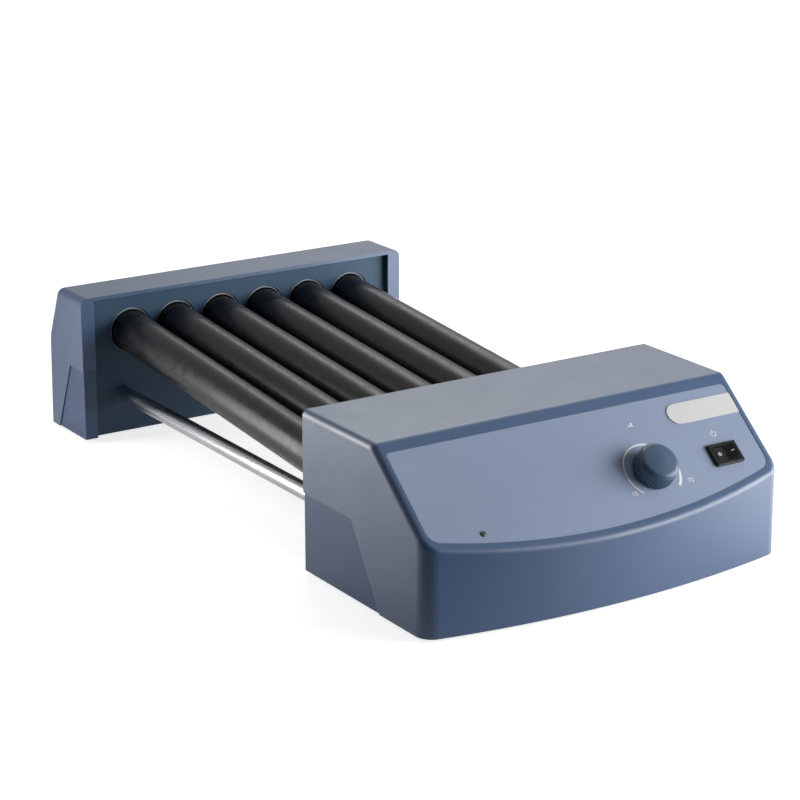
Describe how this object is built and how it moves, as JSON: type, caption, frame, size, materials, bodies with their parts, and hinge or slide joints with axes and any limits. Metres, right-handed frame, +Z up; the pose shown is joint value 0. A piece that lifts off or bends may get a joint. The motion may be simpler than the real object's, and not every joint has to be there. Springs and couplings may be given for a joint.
{
  "type": "tube roller mixer",
  "caption": "Benchtop roller mixer: a bed of driven rollers between two housings turns and rocks sample tubes, with a sloping panel, speed knob and rocker switch.",
  "frame": {"origin": "On the table, under the middle of the whole machine's box.", "axes": "X to the right as seen from the control panel, Y from the control panel to the rear housing along the rollers, Z up."},
  "size_m": [0.24, 0.454, 0.096],
  "materials": {
    "housing": "fine-textured satin blue-grey moulded plastic",
    "tray": "fine-textured satin slate-blue moulded plastic",
    "inner_plate": "dark slate powder coat with a slight sheen",
    "overlay": "smooth satin periwinkle film",
    "badge": "smooth white film, left bare",
    "lamp": "dark green clear lens",
    "switch_black": "semi-gloss black",
    "knob": "satin dark navy, domed top and fluted skirt",
    "roller_black": "smooth satin black",
    "end_cap": "turned black plastic with a steel-hard journal",
    "pulley": "natural white moulded plastic",
    "belt": "smooth round drive belt",
    "port_ring": "turned satin ring",
    "polished_steel": "polished steel",
    "zinc": "bright zinc plate",
    "raw_aluminium": "milled aluminium",
    "bronze": "sintered bronze",
    "brass": "turned brass",
    "board": "green circuit board",
    "foot_rubber": "matt black rubber"
  },
  "bodies": {
    "root": {"front_cover": "housing", "rear_cover": "housing", "front_tray": "tray", "rear_tray": "tray", "front_inner_plate": "inner_plate", "rear_inner_plate": "inner_plate", "panel_overlay": "overlay", "badge_plate": "badge", "lamp_lens": "lamp", "switch_body": "switch_black", "speed_potentiometer": "zinc", "potentiometer_nut": "zinc", "control_board": "board", "board_standoffs": "brass", "power_inlet": "switch_black", "link_stud": "zinc", "bearing_plate": "zinc", "bearing_spacers": "zinc", "ball_studs": "polished_steel", "ball_stud_nuts": "zinc", "port_rings": "port_ring", "tie_rod_left": "polished_steel", "tie_rod_right": "polished_steel", "tie_rod_nuts": "zinc", "feet": "foot_rubber", "tray_screws": "zinc", "plate_screws": "zinc"},
    "carriage": {"carriage_plate": "raw_aluminium", "journal_bearings": "bronze", "gearbox": "zinc", "drive_motor": "zinc", "motor_screws": "zinc", "journal_belts": "belt", "motor_belt": "belt"},
    "roller_1": {"roller_1_sleeve": "roller_black", "roller_1_end_caps": "end_cap", "roller_1_pulley": "pulley"},
    "roller_2": {"roller_2_sleeve": "roller_black", "roller_2_end_caps": "end_cap", "roller_2_pulley": "pulley"},
    "roller_3": {"roller_3_sleeve": "roller_black", "roller_3_end_caps": "end_cap", "roller_3_pulley": "pulley"},
    "roller_4": {"roller_4_sleeve": "roller_black", "roller_4_end_caps": "end_cap", "roller_4_pulley": "pulley"},
    "roller_5": {"roller_5_sleeve": "roller_black", "roller_5_end_caps": "end_cap", "roller_5_pulley": "pulley"},
    "roller_6": {"roller_6_sleeve": "roller_black", "roller_6_end_caps": "end_cap", "roller_6_pulley": "pulley"},
    "drive": {"drive_shaft": "polished_steel", "drive_pulley": "pulley", "crank_disc": "raw_aluminium"},
    "link": {"crank_link": "zinc"},
    "knob": {"speed_knob": "knob", "potentiometer_shaft": "zinc"},
    "rocker": {"switch_rocker": "switch_black"}
  },
  "joints": [
    {"name": "rock", "type": "hinge", "parent": "root", "child": "carriage", "pos_m": [0, 0.185, 0.069], "axis": [-1, 0, 0], "range_deg": [0, 4.8]},
    {"name": "roller_1_spin", "type": "hinge", "parent": "carriage", "child": "roller_1", "pos_m": [-0.0825, 0.185, 0.069], "axis": [0, -0.9965, -0.0837], "continuous": true},
    {"name": "roller_2_spin", "type": "hinge", "parent": "carriage", "child": "roller_2", "pos_m": [-0.0495, 0.185, 0.069], "axis": [0, -0.9965, -0.0837], "continuous": true},
    {"name": "roller_3_spin", "type": "hinge", "parent": "carriage", "child": "roller_3", "pos_m": [-0.0165, 0.185, 0.069], "axis": [0, -0.9965, -0.0837], "continuous": true},
    {"name": "roller_4_spin", "type": "hinge", "parent": "carriage", "child": "roller_4", "pos_m": [0.0165, 0.185, 0.069], "axis": [0, -0.9965, -0.0837], "continuous": true},
    {"name": "roller_5_spin", "type": "hinge", "parent": "carriage", "child": "roller_5", "pos_m": [0.0495, 0.185, 0.069], "axis": [0, -0.9965, -0.0837], "continuous": true},
    {"name": "roller_6_spin", "type": "hinge", "parent": "carriage", "child": "roller_6", "pos_m": [0.0825, 0.185, 0.069], "axis": [0, -0.9965, -0.0837], "continuous": true},
    {"name": "drive_spin", "type": "hinge", "parent": "carriage", "child": "drive", "pos_m": [0, 0.18667, 0.04907], "axis": [0, -0.9965, -0.0837], "continuous": true},
    {"name": "link_swing", "type": "hinge", "parent": "root", "child": "link", "pos_m": [0, -0.1065, 0.0106], "axis": [0, -1, 0], "range_deg": [-28.6, 28.6]},
    {"name": "knob_turn", "type": "hinge", "parent": "root", "child": "knob", "pos_m": [0.0376, -0.20214, 0.06269], "axis": [0, -0.6481, 0.7615], "range_deg": [-270, 0]},
    {"name": "switch_rock", "type": "hinge", "parent": "root", "child": "rocker", "pos_m": [0.0894, -0.20121, 0.0619], "axis": [0, 0.7615, 0.6481], "range_deg": [0, 24]}
  ],
  "couplings": [
    {"joint": "roller_2_spin", "follows": "roller_1_spin", "ratio": 1},
    {"joint": "roller_3_spin", "follows": "roller_1_spin", "ratio": 1},
    {"joint": "roller_4_spin", "follows": "roller_1_spin", "ratio": 1},
    {"joint": "roller_5_spin", "follows": "roller_1_spin", "ratio": 1},
    {"joint": "roller_6_spin", "follows": "roller_1_spin", "ratio": 1},
    {"joint": "drive_spin", "follows": "roller_1_spin", "ratio": 0.75}
  ]
}
